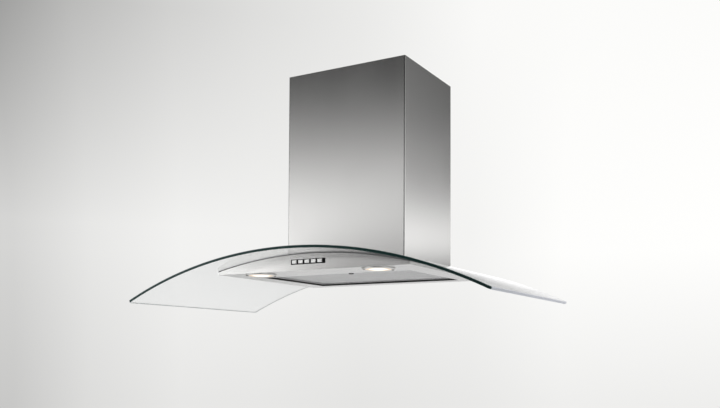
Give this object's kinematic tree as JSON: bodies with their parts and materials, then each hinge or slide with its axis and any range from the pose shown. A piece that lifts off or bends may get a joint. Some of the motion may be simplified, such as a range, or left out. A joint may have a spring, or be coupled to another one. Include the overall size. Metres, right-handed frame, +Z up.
{
  "type": "range hood",
  "caption": "Wall-mounted chimney range hood with an arched clear glass canopy, slim stainless body, drop-down grease filter, spot lamps and push buttons.",
  "frame": {"origin": "centre of the four wall screw holes, on the wall plane", "axes": "+X along the hood's width, +Y into the wall, +Z up; the front faces -Y"},
  "size_m": [0.8994, 0.49, 0.5555],
  "materials": {
    "canopy_glass": "clear float glass, polished edges with a green tint",
    "stainless": "fine satin brushed stainless",
    "bezel_steel": "satin turned ring",
    "seal_rubber": "matte black",
    "fixing_steel": "zinc plated",
    "lamp_screw_steel": "blackened",
    "nylon": "natural nylon",
    "galvanised_steel": "spangled zinc",
    "filter_aluminium": "mill finish",
    "mesh_aluminium": "expanded mesh",
    "black_plastic": "fine grain",
    "button_silver": "satin silver",
    "lamp_glass": "frosted, lit warm white",
    "bulb_glass": "clear quartz",
    "reflector": "bright spun",
    "ceramic": "unglazed ceramic",
    "grey_plastic": "moulded",
    "motor_enamel": "black enamel",
    "shaft_steel": "ground",
    "capacitor_can": "drawn can"
  },
  "bodies": {
    "hood": {"back_plate": "galvanised_steel", "body_shell": "stainless", "box_screws": "fixing_steel", "button_bezel": "black_plastic", "cable_gland": "black_plastic", "capacitor": "capacitor_can", "collar_screws": "fixing_steel", "cover_screws": "fixing_steel", "damper_pin": "fixing_steel", "edge_seal": "seal_rubber", "filter_pins": "fixing_steel", "glass_bolts": "fixing_steel", "glass_bushes": "nylon", "glass_canopy": "canopy_glass", "glass_nuts": "fixing_steel", "lamp_bezel_left": "bezel_steel", "lamp_bezel_right": "bezel_steel", "lamp_bowl_left": "reflector", "lamp_bowl_right": "reflector", "lamp_bulb_left": "bulb_glass", "lamp_bulb_right": "bulb_glass", "lamp_lens_left": "lamp_glass", "lamp_lens_right": "lamp_glass", "lamp_screws": "lamp_screw_steel", "lamp_socket_left": "ceramic", "lamp_socket_right": "ceramic", "lamp_transformer": "motor_enamel", "lower_clamp_seal": "seal_rubber", "lower_cover": "stainless", "motor": "motor_enamel", "motor_box": "galvanised_steel", "motor_bracket": "galvanised_steel", "motor_screws": "fixing_steel", "outlet_collar": "grey_plastic", "scroll_left": "grey_plastic", "scroll_right": "grey_plastic", "switch_block": "black_plastic", "terminal_box": "black_plastic", "underside_panel": "stainless", "upper_clamp_seal": "seal_rubber"},
    "upper_cover": {"upper_cover": "stainless", "cover_bracket": "galvanised_steel", "bracket_screws": "fixing_steel"},
    "filter": {"filter_frame": "filter_aluminium", "filter_mesh": "mesh_aluminium"},
    "latch": {"filter_latch": "black_plastic"},
    "light_button": {"button_light": "button_silver"},
    "off_button": {"button_off": "button_silver"},
    "speed_1_button": {"button_speed_1": "button_silver"},
    "speed_2_button": {"button_speed_2": "button_silver"},
    "speed_3_button": {"button_speed_3": "button_silver"},
    "fan": {"impeller": "grey_plastic", "impeller_shaft": "shaft_steel"},
    "front_damper": {"damper_flap_front": "grey_plastic"},
    "rear_damper": {"damper_flap_rear": "grey_plastic"}
  },
  "joints": [
    {"name": "upper_cover_raise", "type": "slide", "parent": "hood", "child": "upper_cover", "axis": [0, 0, 1], "range_m": [0, 0.36]},
    {"name": "filter_drop", "type": "hinge", "parent": "hood", "child": "filter", "pos_m": [0, -0.048, -0.1853], "axis": [1, 0, 0], "range_deg": [0, 85]},
    {"name": "latch_slide", "type": "slide", "parent": "filter", "child": "latch", "axis": [0, -1, 0], "range_m": [0, 0.004]},
    {"name": "light_press", "type": "slide", "parent": "hood", "child": "light_button", "axis": [0, 1, 0], "range_m": [0, 0.003], "stiffness_N_per_m": 250},
    {"name": "off_press", "type": "slide", "parent": "hood", "child": "off_button", "axis": [0, 1, 0], "range_m": [0, 0.003], "stiffness_N_per_m": 250},
    {"name": "speed_1_press", "type": "slide", "parent": "hood", "child": "speed_1_button", "axis": [0, 1, 0], "range_m": [0, 0.003], "stiffness_N_per_m": 250},
    {"name": "speed_2_press", "type": "slide", "parent": "hood", "child": "speed_2_button", "axis": [0, 1, 0], "range_m": [0, 0.003], "stiffness_N_per_m": 250},
    {"name": "speed_3_press", "type": "slide", "parent": "hood", "child": "speed_3_button", "axis": [0, 1, 0], "range_m": [0, 0.003], "stiffness_N_per_m": 250},
    {"name": "fan_spin", "type": "hinge", "parent": "hood", "child": "fan", "pos_m": [0, -0.128, -0.032], "axis": [1, 0, 0], "continuous": true},
    {"name": "front_damper_open", "type": "hinge", "parent": "hood", "child": "front_damper", "pos_m": [0, -0.088, 0.156], "axis": [-1, 0, 0], "range_deg": [0, 75]},
    {"name": "rear_damper_open", "type": "hinge", "parent": "hood", "child": "rear_damper", "pos_m": [0, -0.088, 0.156], "axis": [1, 0, 0], "range_deg": [0, 75]}
  ]
}
